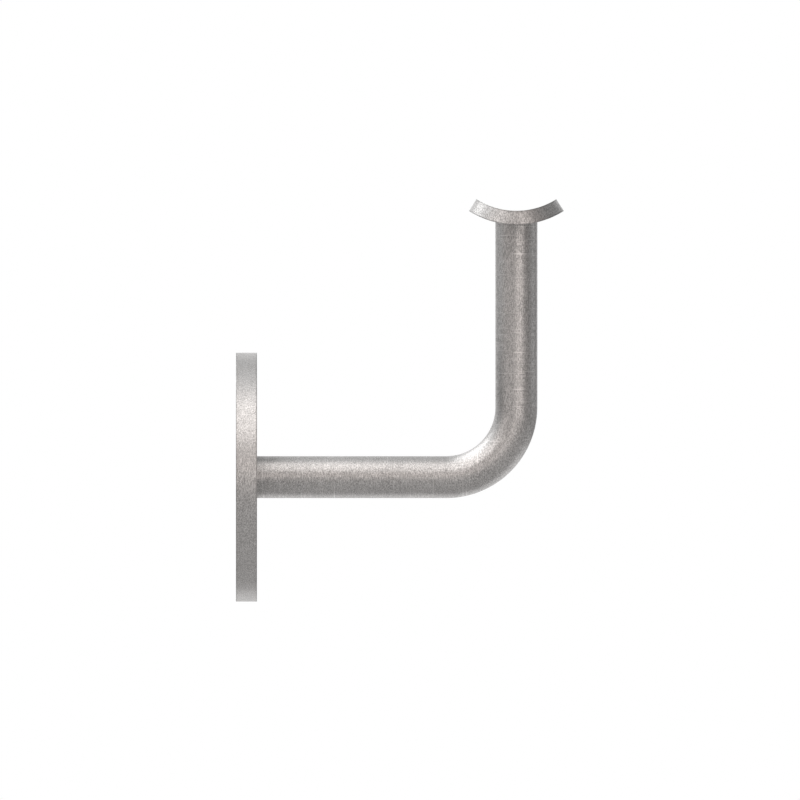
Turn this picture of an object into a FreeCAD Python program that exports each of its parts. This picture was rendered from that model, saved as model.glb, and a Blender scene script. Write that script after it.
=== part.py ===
# Wall bracket for a round handrail, in satin stainless steel.
#
# A round flange is screwed to the wall. A round rod is let into its middle, runs straight out,
# turns up through a quarter bend and ends under a curved saddle, which cradles the handrail from
# below. The rod is welded into the flange from the wall side, and to the saddle by a plug weld
# through the saddle's centre hole. Both welds are dressed, so neither shows on the mounted bracket.
#
# Frame: the origin is the middle of the flange's wall face. +X points out of the wall, +Z points up
# and Y runs along the handrail. All lengths are in millimetres and all angles in degrees.

import FreeCAD, Part
import math
import os

from FreeCAD import Vector

# Round rod, bent once
ROD_DIAMETER = 12.0
BEND_RADIUS = 20.0  # on the rod's centre line
PROJECTION = 80.0  # wall face to the middle of the upright, which is the middle of the handrail
RISE = 76.0  # middle of the lower leg to the lowest line of the seat

# Wall flange
FLANGE_DIAMETER = 71.0
FLANGE_THICKNESS = 6.0
FLANGE_EDGE_ROUND = 0.15
ROD_HOLE_CLEARANCE = 0.05  # on the radius

# Wall screws: countersunk, and none straight above the rod, where the upright bars the driver
SCREW_COUNT = 3
SCREW_CIRCLE_DIAMETER = 50.0
SCREW_HOLE_DIAMETER = 6.5
SCREW_HEAD_DIAMETER = 12.6
FIRST_SCREW_ANGLE = -90.0  # seen from the room, anticlockwise from +Y

# Saddle, bent from a flat strip with round ends
HANDRAIL_DIAMETER = 42.4
SADDLE_THICKNESS = 4.0
SADDLE_STRIP_WIDTH = 26.3  # before bending, which is also the width along its middle layer
SADDLE_LENGTH = 65.0  # on its underside
SADDLE_END_LEAN = 8.0  # the round ends lean in towards the seat, so no edge stands out by the rail
SADDLE_EDGE_ROUND = 0.1

# Rail screws, driven up through the saddle into the handrail
RAIL_SCREW_SPACING = 45.0
RAIL_SCREW_HOLE_DIAMETER = 5.5
RAIL_SCREW_HEAD_DIAMETER = 10.0

COUNTERSINK_ANGLE = 90.0

# Welds
FLANGE_WELD_DEPTH = 1.8  # from the wall face to the rod's rear end
FLANGE_WELD_SETBACK = 0.2  # how far the dressed weld stays below the wall face
PLUG_HOLE_DIAMETER = 8.0
PLUG_WELD_SETBACK = 0.1  # how far the dressed plug stays below the seat

ROD_RADIUS = ROD_DIAMETER / 2
ROD_HOLE_RADIUS = ROD_RADIUS + ROD_HOLE_CLEARANCE
SEAT_RADIUS = HANDRAIL_DIAMETER / 2
SADDLE_OUTER_RADIUS = SEAT_RADIUS + SADDLE_THICKNESS
SADDLE_MIDDLE_RADIUS = SEAT_RADIUS + SADDLE_THICKNESS / 2
RAIL_AXIS_HEIGHT = RISE + SEAT_RADIUS

OUT = Vector(1, 0, 0)
ALONG = Vector(0, 1, 0)
UP = Vector(0, 0, 1)
OVERCUT = 1.0  # how far a cutting tool runs past the face that it enters or leaves by


def rail_cylinder(radius, length):
    """A cylinder of that radius about the handrail's axis, centred on the upright."""
    start = Vector(PROJECTION, -length / 2, RAIL_AXIS_HEIGHT)
    return Part.makeCylinder(radius, length, start, ALONG)


def countersunk_hole(hole_diameter, head_diameter, mouth, into, depth):
    """The tool for a drilled hole with a countersink at its mouth. It runs along into from mouth."""
    slope = math.tan(math.radians(COUNTERSINK_ANGLE / 2))
    hole_radius = hole_diameter / 2
    mouth_radius = head_diameter / 2 + OVERCUT * slope
    cone_depth = (mouth_radius - hole_radius) / slope
    start = mouth - into * OVERCUT
    drill = Part.makeCylinder(hole_radius, depth + 2 * OVERCUT, start, into)
    sink = Part.makeCone(mouth_radius, hole_radius, cone_depth, start, into)
    return drill.fuse(sink)


def wall_screw_places():
    """The middles of the wall screws on the flange's front face."""
    places = []
    for number in range(SCREW_COUNT):
        angle = math.radians(FIRST_SCREW_ANGLE + number * 360.0 / SCREW_COUNT)
        y = SCREW_CIRCLE_DIAMETER / 2 * math.cos(angle)
        z = SCREW_CIRCLE_DIAMETER / 2 * math.sin(angle)
        places.append(Vector(FLANGE_THICKNESS, y, z))
    return places


def flange_weld_groove():
    """The cone bevelled into the flange round the rod's rear end, from the wall face inwards."""
    mouth_radius = ROD_HOLE_RADIUS + FLANGE_WELD_DEPTH
    return Part.makeCone(mouth_radius, ROD_HOLE_RADIUS, FLANGE_WELD_DEPTH, Vector(0, 0, 0), OUT)


def wall_flange():
    """A disc with rounded rims, bored for the rod and drilled and countersunk for the wall screws."""
    flange = Part.makeCylinder(FLANGE_DIAMETER / 2, FLANGE_THICKNESS, Vector(0, 0, 0), OUT)
    rims = [edge for edge in flange.Edges if edge.isClosed()]
    flange = flange.makeFillet(FLANGE_EDGE_ROUND, rims)
    bore_start = Vector(-OVERCUT, 0, 0)
    bore = Part.makeCylinder(ROD_HOLE_RADIUS, FLANGE_THICKNESS + 2 * OVERCUT, bore_start, OUT)
    flange = flange.cut([bore, flange_weld_groove()])
    for place in wall_screw_places():
        hole = countersunk_hole(
            SCREW_HOLE_DIAMETER, SCREW_HEAD_DIAMETER, place, -OUT, FLANGE_THICKNESS
        )
        flange = flange.cut(hole)
    return flange


def bent_rod():
    """The rod: out from the flange weld, a quarter bend up, and an upright coped to fit the saddle."""
    rear_end = Vector(FLANGE_WELD_DEPTH, 0, 0)
    bend_start = Vector(PROJECTION - BEND_RADIUS, 0, 0)
    bend_end = Vector(PROJECTION, 0, BEND_RADIUS)
    bend_centre = Vector(PROJECTION - BEND_RADIUS, 0, BEND_RADIUS)
    middle_direction = Vector(math.sin(math.radians(45)), 0, -math.cos(math.radians(45)))
    bend_middle = bend_centre + middle_direction * BEND_RADIUS
    top = Vector(PROJECTION, 0, RISE)
    path = Part.Wire(
        [
            Part.LineSegment(rear_end, bend_start).toShape(),
            Part.Arc(bend_start, bend_middle, bend_end).toShape(),
            Part.LineSegment(bend_end, top).toShape(),
        ]
    )
    section = Part.Wire(Part.Circle(rear_end, OUT, ROD_RADIUS).toShape())
    rod = path.makePipeShell([section], True, True)
    cope = rail_cylinder(SADDLE_OUTER_RADIUS, 2 * ROD_DIAMETER)
    return rod.cut(cope)


def strip_outline(depth):
    """The strip's outline carried radially from the handrail's axis to a level plane below it.

    A point of the flat strip at s across and y along lies, once bent, at the angle s over the middle
    layer's radius from the lowest line, so its radial line meets the plane at depth * tan(angle).
    The ends lean: above the underside they draw in along Y, by the height times tan(lean).
    """
    half_width = SADDLE_STRIP_WIDTH / 2
    drawn_in = (SADDLE_OUTER_RADIUS - depth) * math.tan(math.radians(SADDLE_END_LEAN))
    end_middle = SADDLE_LENGTH / 2 - half_width - drawn_in
    height = RAIL_AXIS_HEIGHT - depth
    point_count = 25

    def bent(s, y):
        return Vector(PROJECTION + depth * math.tan(s / SADDLE_MIDDLE_RADIUS), y, height)

    def round_end(side):
        points = []
        for number in range(point_count):
            turn = math.pi * number / (point_count - 1)
            s = half_width * math.cos(turn)
            points.append(bent(side * s, side * (end_middle + half_width * math.sin(turn))))
        curve = Part.BSplineCurve()
        curve.interpolate(points)
        return curve.toShape()

    far_end = round_end(1)
    near_end = round_end(-1)
    left_side = Part.LineSegment(bent(-half_width, end_middle), bent(-half_width, -end_middle))
    right_side = Part.LineSegment(bent(half_width, -end_middle), bent(half_width, end_middle))
    return Part.Wire([far_end, left_side.toShape(), near_end, right_side.toShape()])


def bent_strip():
    """The strip bent round the handrail's axis: a ring cut out by the radial walls of its outline."""
    ring_length = SADDLE_LENGTH + 2 * OVERCUT
    ring = rail_cylinder(SADDLE_OUTER_RADIUS, ring_length).cut(
        rail_cylinder(SEAT_RADIUS, ring_length + 2 * OVERCUT)
    )
    half_angle = SADDLE_STRIP_WIDTH / 2 / SADDLE_MIDDLE_RADIUS
    upper_depth = SEAT_RADIUS * math.cos(half_angle) / 2
    lower_depth = SADDLE_OUTER_RADIUS + OVERCUT
    walls = Part.makeLoft([strip_outline(upper_depth), strip_outline(lower_depth)], True, True)
    return ring.common(walls)


def plug_hole(length):
    """The round hole for the plug weld, from under the saddle upwards."""
    start = Vector(PROJECTION, 0, RISE - SADDLE_THICKNESS - OVERCUT)
    return Part.makeCylinder(PLUG_HOLE_DIAMETER / 2, length, start, UP)


def rail_saddle():
    """The bent strip with eased edges, its plug weld hole and the two countersunk rail screw holes."""
    saddle = bent_strip()
    saddle = saddle.makeFillet(SADDLE_EDGE_ROUND, outline_edges(saddle))
    saddle = saddle.cut(plug_hole(SADDLE_THICKNESS + 3 * OVERCUT))
    underside = RISE - SADDLE_THICKNESS
    for side in (-1, 1):
        mouth = Vector(PROJECTION, side * RAIL_SCREW_SPACING / 2, underside)
        hole = countersunk_hole(
            RAIL_SCREW_HOLE_DIAMETER, RAIL_SCREW_HEAD_DIAMETER, mouth, UP, SADDLE_THICKNESS
        )
        saddle = saddle.cut(hole)
    return saddle


def outline_edges(saddle):
    """The edges that run round the strip on its seat and on its underside."""
    found = []
    for edge in saddle.Edges:
        middle = edge.valueAt((edge.FirstParameter + edge.LastParameter) / 2)
        distance = math.hypot(middle.x - PROJECTION, middle.z - RAIL_AXIS_HEIGHT)
        first, last = (vertex.Point for vertex in (edge.Vertexes[0], edge.Vertexes[-1]))
        radii = [math.hypot(p.x - PROJECTION, p.z - RAIL_AXIS_HEIGHT) for p in (first, last)]
        if max(abs(r - distance) for r in radii) < 0.01:
            found.append(edge)
    return found


def flange_weld():
    """The weld that fills the groove behind the rod, dressed just below the wall face."""
    dressed = Part.makeCylinder(
        FLANGE_DIAMETER / 2, FLANGE_WELD_SETBACK + OVERCUT, Vector(-OVERCUT, 0, 0), OUT
    )
    return flange_weld_groove().cut(dressed)


def saddle_weld():
    """The plug weld: it fills the saddle's centre hole from the rod's coped end up to the seat."""
    plug = plug_hole(SADDLE_THICKNESS + 3 * OVERCUT)
    dressed = rail_cylinder(SEAT_RADIUS + PLUG_WELD_SETBACK, 2 * PLUG_HOLE_DIAMETER)
    below = rail_cylinder(SADDLE_OUTER_RADIUS, 2 * PLUG_HOLE_DIAMETER)
    return plug.common(below).cut(dressed)


SUBPARTS = {
    "wall_flange": wall_flange,
    "bent_rod": bent_rod,
    "rail_saddle": rail_saddle,
    "flange_weld": flange_weld,
    "saddle_weld": saddle_weld,
}

os.makedirs("parts", exist_ok=True)
for node, build in SUBPARTS.items():
    shape = build()
    solids = shape.Solids
    assert shape.isValid() and len(solids) == 1, node
    solids[0].exportStep("parts/" + node + ".step")
    print(node, "volume", round(solids[0].Volume, 1), "mm3")
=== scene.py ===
import math

import bpy
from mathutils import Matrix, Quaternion, Vector


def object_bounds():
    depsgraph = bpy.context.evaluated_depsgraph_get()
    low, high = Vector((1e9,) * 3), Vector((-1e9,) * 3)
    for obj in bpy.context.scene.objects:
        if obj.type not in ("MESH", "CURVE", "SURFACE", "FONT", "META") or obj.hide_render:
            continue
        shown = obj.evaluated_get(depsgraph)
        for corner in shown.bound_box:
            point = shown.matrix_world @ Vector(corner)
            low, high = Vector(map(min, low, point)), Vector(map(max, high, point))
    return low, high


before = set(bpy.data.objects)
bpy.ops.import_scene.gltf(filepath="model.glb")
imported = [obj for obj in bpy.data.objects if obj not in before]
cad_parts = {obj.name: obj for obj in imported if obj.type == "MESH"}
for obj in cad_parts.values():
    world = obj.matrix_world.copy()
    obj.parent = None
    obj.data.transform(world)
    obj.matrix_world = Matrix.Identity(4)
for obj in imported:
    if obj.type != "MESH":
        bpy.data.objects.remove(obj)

cad_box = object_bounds()

# --- Wall flange -----------------------------------------------------------------------------------
# A round disc of stainless steel plate, turned, bored for the rod and countersunk for three wall
# screws. Disc and rim are finished satin with one fine upright grain. Its solid has its whole shape.

STEEL = (0.50, 0.494, 0.489)


def add_node(tree, kind, inputs, operation=None):
    """A new node in a material's or a room's tree, with its inputs set by name or by number.

    An input gets a plain value, or the output that is wired to it. A Mix node mixes two colours:
    they are its inputs 6 and 7, and their mix is its output 2.
    """
    node = tree.nodes.new("ShaderNode" + kind)
    if kind == "Mix":
        node.data_type = "RGBA"
    if operation:
        node.operation = operation
    for name, value in inputs.items():
        if isinstance(value, bpy.types.NodeSocket):
            tree.links.new(value, node.inputs[name])
        else:
            node.inputs[name].default_value = value
    return node


def ramp(tree, value, start, end, low, high, smooth=False):
    """Goes from low to high as the value goes from start to end, and stays level outside them."""
    steps = {"Value": value, "From Min": start, "From Max": end, "To Min": low, "To Max": high}
    node = add_node(tree, "MapRange", steps)
    if smooth:
        node.interpolation_type = "SMOOTHSTEP"
    return node.outputs["Result"]


def satin_steel(name, contrast, streaks, scratches, roughness=0.42, steel=STEEL):
    """Satin stainless steel, as fine belts leave it: specks, short upright streaks, clouds, scratches.

    The finish is a sum of noises in space, each less 0.5, times its weight, plus 0.5: specks
    0.2 mm wide and 0.3 mm high, streaks 0.2 mm wide and 1 mm high, and clouds of about 10 mm.
    Scratches are 8 mm long and a quarter of a millimetre wide, and show only where their own noise
    passes a high mark. Each set of them is its noise's cells per metre, its weight and its limits,
    which are the values of x + z, in metres, between which it fades in, or None. The colour goes
    from the steel's times (1 - contrast) to the steel's times (1 + contrast) with the finish, the
    steel is smoother where it is lighter, and specks and streaks stand microns proud.
    """
    scratch_mark, scratch_full = 0.72, 0.82
    gloss_spread = 0.05
    bump_strength, bump_depth = 0.3, 0.00003

    material = bpy.data.materials.new(name)
    material.use_nodes = True
    tree = material.node_tree
    shader = tree.nodes["Principled BSDF"]
    shader.inputs["Metallic"].default_value = 1.0
    place = tree.nodes.new("ShaderNodeTexCoord").outputs["Object"]

    def noise(per_metre, detail):
        """A noise in space with so many cells per metre along x, y and z."""
        cells = add_node(tree, "Mapping", {"Vector": place, "Scale": per_metre}).outputs["Vector"]
        texture = add_node(tree, "TexNoise", {"Vector": cells, "Scale": 1.0, "Detail": detail})
        return texture.outputs["Fac"]

    def add_up(parts):
        """0.5 plus each noise less 0.5 times its weight."""
        total = 0.5 - 0.5 * sum(weight for _, weight in parts)
        for value, weight in parts:
            step = add_node(tree, "Math", {0: value, 1: weight, 2: total}, "MULTIPLY_ADD")
            total = step.outputs["Value"]
        return total

    specks = noise((5200, 5200, 3400), detail=1.0)
    streak = noise((5200, 5200, 1000), detail=1.0)
    clouds = noise((110, 110, 80), detail=2.0)
    finish_parts = [(specks, 2.6), (streak, 2.2 * streaks), (clouds, 0.4)]
    for per_metre, weight, limits in scratches:
        full = 1.0
        if limits:
            x_plus_z = add_node(tree, "VectorMath", {0: place, 1: (1, 0, 1)}, "DOT_PRODUCT")
            full = ramp(tree, x_plus_z.outputs["Value"], *limits, 0.5, 1.0)
        own_noise = noise(per_metre, detail=0.0)
        finish_parts.append((ramp(tree, own_noise, scratch_mark, scratch_full, 0.5, full), weight))
    finish = add_up(finish_parts)

    dark = (*[c * (1 - contrast) for c in steel], 1)
    light = (*[c * (1 + contrast) for c in steel], 1)
    colour = add_node(tree, "Mix", {0: finish, 6: dark, 7: light})
    tree.links.new(colour.outputs[2], shader.inputs["Base Color"])

    gloss = ramp(tree, finish, 0.0, 1.0, roughness + gloss_spread, roughness - gloss_spread)
    tree.links.new(gloss, shader.inputs["Roughness"])

    relief = add_up([(specks, 0.6), (streak, 0.6 * streaks)])
    bump_inputs = {"Strength": bump_strength, "Distance": bump_depth, "Height": relief}
    bump = add_node(tree, "Bump", bump_inputs)
    tree.links.new(bump.outputs["Normal"], shader.inputs["Normal"])
    return material


def paint_edge_shade(material, keep, start, middle, half, share):
    """Painted shade: darken a plate's colour by that share in a thin dark line along its edges.

    The distance is that of the point, times keep, from start, so it is measured from a plane or a
    line. The plate's middle layer is at the distance middle, and its faces are half further and
    nearer. A point is on an edge where it is within 0.3 mm of a face's distance and its surface
    doesn't look along the line that the distance is measured on.
    """
    band, blur = 0.0003, 0.00005
    along_the_line, off_the_line = 0.97, 0.8

    tree = material.node_tree
    colour_in = tree.nodes["Principled BSDF"].inputs["Base Color"]
    place = tree.nodes.new("ShaderNodeTexCoord")
    from_start = {0: place.outputs["Object"], 1: keep, 2: [-s for s in start]}
    offset = add_node(tree, "VectorMath", from_start, "MULTIPLY_ADD").outputs["Vector"]
    distance = add_node(tree, "VectorMath", {0: offset}, "LENGTH").outputs["Value"]
    layer = add_node(tree, "Math", {0: distance, 1: middle}, "SUBTRACT").outputs["Value"]
    depth = add_node(tree, "Math", {0: layer}, "ABSOLUTE").outputs["Value"]
    by_the_face = ramp(tree, depth, half - band - blur, half - band + blur, 0.0, share)
    line = add_node(tree, "VectorMath", {0: offset}, "NORMALIZE").outputs["Vector"]
    facing = {0: line, 1: place.outputs["Normal"]}
    look = add_node(tree, "VectorMath", facing, "DOT_PRODUCT").outputs["Value"]
    turned = add_node(tree, "Math", {0: look}, "ABSOLUTE").outputs["Value"]
    off_the_face = ramp(tree, turned, along_the_line, off_the_line, 0.0, 1.0)
    edge = add_node(tree, "Math", {0: by_the_face, 1: off_the_face}, "MULTIPLY").outputs["Value"]
    darker = add_node(tree, "Mix", {0: edge, 6: colour_in.links[0].from_socket, 7: (0, 0, 0, 1)})
    tree.links.new(darker.outputs[2], colour_in)


# A scratch runs along the axis that has few cells per metre, here z.
UPRIGHT = (4200, 4200, 130)
BELT_WEIGHT = 1.6
# How much the painted shade darkens the colour along the plates' edges.
EDGE_SHADE_SHARE = 0.3
FLANGE_HALF_THICKNESS = 0.003
flange_steel = satin_steel(
    "flange_satin", contrast=0.35, streaks=1.0, scratches=[(UPRIGHT, BELT_WEIGHT, None)]
)
# The distance is measured from a plane 1 m behind the wall, so that it is never 0.
# Painted shade: a thin dark line along both edges of the flange's rim.
paint_edge_shade(
    flange_steel,
    keep=(1, 0, 0),
    start=(-1, 0, 0),
    middle=1 + FLANGE_HALF_THICKNESS,
    half=FLANGE_HALF_THICKNESS,
    share=EDGE_SHADE_SHARE,
)
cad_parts["wall_flange"].material_slots[0].material = flange_steel

# --- Bent rod --------------------------------------------------------------------------------------
# One length of round stainless bar, bent cold round a former and coped at its top to the saddle's
# underside. It is polished round by hand after it is bent, so its satin is a little coarser.

# The bend's slanting middle plane is at x + z = 80 mm, and each set of scratches keeps to its side.
HAND_WEIGHT = 2.2
ROUND_LOWER_LEG = ((4200, 130, 130), HAND_WEIGHT, (0.082, 0.078))
ROUND_UPRIGHT = ((130, 130, 4200), HAND_WEIGHT, (0.078, 0.082))
rod_steel = satin_steel(
    "rod_satin", contrast=0.37, streaks=1.1, scratches=[ROUND_LOWER_LEG, ROUND_UPRIGHT]
)
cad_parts["bent_rod"].material_slots[0].material = rod_steel

# --- Saddle ----------------------------------------------------------------------------------------
# A flat stainless strip with round ends, drilled and countersunk, then bent to the tube's radius. Its
# cut edge, which shows from the side, is linished across, so its streaks are the strongest.

ALONG_RAIL = (4200, 130, 4200)
RAIL_AXIS = (0.080, 0, 0.0972)
SADDLE_MIDDLE_RADIUS = 0.0232
SADDLE_HALF_THICKNESS = 0.002
saddle_steel = satin_steel(
    "saddle_satin",
    contrast=0.35,
    streaks=1.5,
    scratches=[(UPRIGHT, BELT_WEIGHT, None), (ALONG_RAIL, BELT_WEIGHT, None)],
)
# Painted shade: a thin dark line along both edges of the saddle's cut face.
paint_edge_shade(
    saddle_steel,
    keep=(1, 0, 1),
    start=RAIL_AXIS,
    middle=SADDLE_MIDDLE_RADIUS,
    half=SADDLE_HALF_THICKNESS,
    share=EDGE_SHADE_SHARE,
)
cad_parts["rail_saddle"].material_slots[0].material = saddle_steel

# --- Welds -----------------------------------------------------------------------------------------
# A ring of weld behind the rod, in the flange, and a plug of weld through the saddle. Both are ground
# just below the face around them, which leaves them coarser and a shade darker than the steel.

WELD = (0.45, 0.44, 0.43)
WELD_ROUGHNESS = 0.46
GRINDING_WEIGHT = 4.0
for weld, name, cells in (
    ("flange_weld", "ground_ring", UPRIGHT),
    ("saddle_weld", "ground_plug", ALONG_RAIL),
):
    ground = satin_steel(
        name,
        contrast=0.5,
        streaks=1.0,
        scratches=[(cells, GRINDING_WEIGHT, None)],
        roughness=WELD_ROUGHNESS,
        steel=WELD,
    )
    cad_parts[weld].material_slots[0].material = ground

# --- Floor, light and camera -----------------------------------------------------------------------
# The bracket hangs clear of a plain pale floor, as it does on a wall. Six softboxes and a low panel
# light it, in a plain room that is white behind it, and a level camera looks along the rail.

low, high = cad_box
middle = (low + high) / 2
scene = bpy.context.scene

FLOOR_HALF = 3.0
FLOOR_DROP = 0.065
FLOOR_GREY = (0.48, 0.48, 0.48, 1)
floor_z = low.z - FLOOR_DROP
floor_mesh = bpy.data.meshes.new("studio_floor")
floor_mesh.from_pydata(
    [
        (-FLOOR_HALF, -FLOOR_HALF, floor_z),
        (FLOOR_HALF, -FLOOR_HALF, floor_z),
        (FLOOR_HALF, FLOOR_HALF, floor_z),
        (-FLOOR_HALF, FLOOR_HALF, floor_z),
    ],
    [],
    [(0, 1, 2, 3)],
)
floor = bpy.data.objects.new("studio_floor", floor_mesh)
scene.collection.objects.link(floor)
floor_paint = bpy.data.materials.new("pale_floor")
floor_paint.use_nodes = True
paint = floor_paint.node_tree.nodes["Principled BSDF"]
paint.inputs["Base Color"].default_value = FLOOR_GREY
paint.inputs["Roughness"].default_value = 0.9
paint.inputs["Specular IOR Level"].default_value = 0.0
floor_mesh.materials.append(floor_paint)


def softbox(name, azimuth, elevation, half_width, half_height, turn, radiance, colour):
    """A flat lamp that faces the bracket from 1.2 m away. Azimuth 0 is the camera's side and 90 is +X.

    Its half sizes are the angles that it fills, so each side is 2 * distance * tan(half angle), and
    its power is radiance * pi * area.
    """
    distance = 1.2
    lamp = bpy.data.lights.new(name, "AREA")
    lamp.shape = "RECTANGLE"
    lamp.size = 2 * distance * math.tan(math.radians(half_width))
    lamp.size_y = 2 * distance * math.tan(math.radians(half_height))
    lamp.energy = radiance * math.pi * lamp.size * lamp.size_y
    lamp.color = colour
    around, up = math.radians(azimuth), math.radians(elevation)
    towards = Vector((math.sin(around) * math.cos(up), -math.cos(around) * math.cos(up), math.sin(up)))
    facing = towards.to_track_quat("Z", "Y")
    holder = bpy.data.objects.new(name, lamp)
    holder.location = middle + towards * distance
    holder.rotation_mode = "QUATERNION"
    holder.rotation_quaternion = facing @ Quaternion((0, 0, 1), math.radians(turn))
    scene.collection.objects.link(holder)


WARM = (1.07, 0.985, 0.945)
FAINT = (1.03, 0.995, 0.975)
PLAIN = (1.0, 1.0, 1.0)
# Each softbox: azimuth, elevation, half width, half height and turn in degrees, radiance, colour.
softbox("key_softbox", 237.4, 53.1, 19.6, 22.2, -41.8, 2.284, PLAIN)
softbox("top_softbox", -28.2, 55.7, 25.9, 27.0, 18.0, 1.386, FAINT)
softbox("front_softbox", 17.5, 5.6, 20.7, 5.6, 0.0, 1.711, WARM)
softbox("fill_softbox", 27.7, 22.0, 13.0, 10.0, 0.0, 0.504, WARM)
softbox("left_softbox", -69.5, 32.3, 29.5, 4.0, 0.0, 0.398, PLAIN)
softbox("right_softbox", 102.9, 6.0, 13.0, 6.0, 0.0, 0.664, PLAIN)

# A dim panel lies on the floor behind the bracket and lights its underside.
PANEL_WIDTH, PANEL_DEPTH, PANEL_RADIANCE = 0.5, 0.46, 0.52
PANEL_RISE = 0.002
panel_lamp = bpy.data.lights.new("low_panel", "AREA")
panel_lamp.shape = "RECTANGLE"
panel_lamp.size = PANEL_WIDTH
panel_lamp.size_y = PANEL_DEPTH
panel_lamp.energy = PANEL_RADIANCE * math.pi * PANEL_WIDTH * PANEL_DEPTH
panel = bpy.data.objects.new("low_panel", panel_lamp)
panel.location = (middle.x, high.y + PANEL_DEPTH / 2, floor_z + PANEL_RISE)
panel.rotation_euler = (math.pi, 0, 0)
scene.collection.objects.link(panel)

# The room's brightness is a slow gradient, a level plus a slope times the unit direction. A screen
# behind the bracket brings it to white, full within 24 degrees of straight behind and gone by 52.
# The camera's half of the room is a shade warmer.
ROOM_LEVEL = 0.424
ROOM_SLOPE = (-0.206, 0.0, 0.1145)
SCREEN_RIM, SCREEN_FULL = math.cos(math.radians(52)), math.cos(math.radians(24))
WARM_START, WARM_FULL = 0.1, -0.6
world = bpy.data.worlds.new("studio_room")
scene.world = world
world.use_nodes = True
tree = world.node_tree
direction = tree.nodes.new("ShaderNodeTexCoord").outputs["Generated"]
slope = add_node(tree, "VectorMath", {0: direction, 1: ROOM_SLOPE}, "DOT_PRODUCT").outputs["Value"]
room = add_node(tree, "Math", {0: slope, 1: ROOM_LEVEL}, "ADD").outputs["Value"]
behind = add_node(tree, "VectorMath", {0: direction, 1: (0, 1, 0)}, "DOT_PRODUCT").outputs["Value"]
screen = ramp(tree, behind, SCREEN_RIM, SCREEN_FULL, 0.0, 1 - ROOM_LEVEL, smooth=True)
brightness = add_node(tree, "Math", {0: room, 1: screen}, "ADD").outputs["Value"]
warm_side = ramp(tree, behind, WARM_START, WARM_FULL, 0.0, 1.0, smooth=True)
tint = add_node(tree, "Mix", {0: warm_side, 6: (*PLAIN, 1), 7: (*WARM, 1)}).outputs[2]
tinted = add_node(tree, "VectorMath", {0: tint, "Scale": brightness}, "SCALE").outputs["Vector"]
background = tree.nodes["Background"]
background.inputs["Strength"].default_value = 1.0
tree.links.new(tinted, background.inputs["Color"])

scene.view_settings.view_transform = "Standard"

# The camera looks level along +Y, aimed a tenth of a millimetre off the middle of the bracket's box.
VIEW_WIDTH = 0.2282
CAMERA_DISTANCE = 1.0
AIM_X, AIM_Z = 0.00005, 0.00012
camera_data = bpy.data.cameras.new("level_camera")
camera_data.type = "ORTHO"
camera_data.ortho_scale = VIEW_WIDTH
camera = bpy.data.objects.new("level_camera", camera_data)
camera.location = (middle.x + AIM_X, -CAMERA_DISTANCE, middle.z + AIM_Z)
camera.rotation_euler = (math.radians(90), 0, 0)
scene.collection.objects.link(camera)
scene.camera = camera
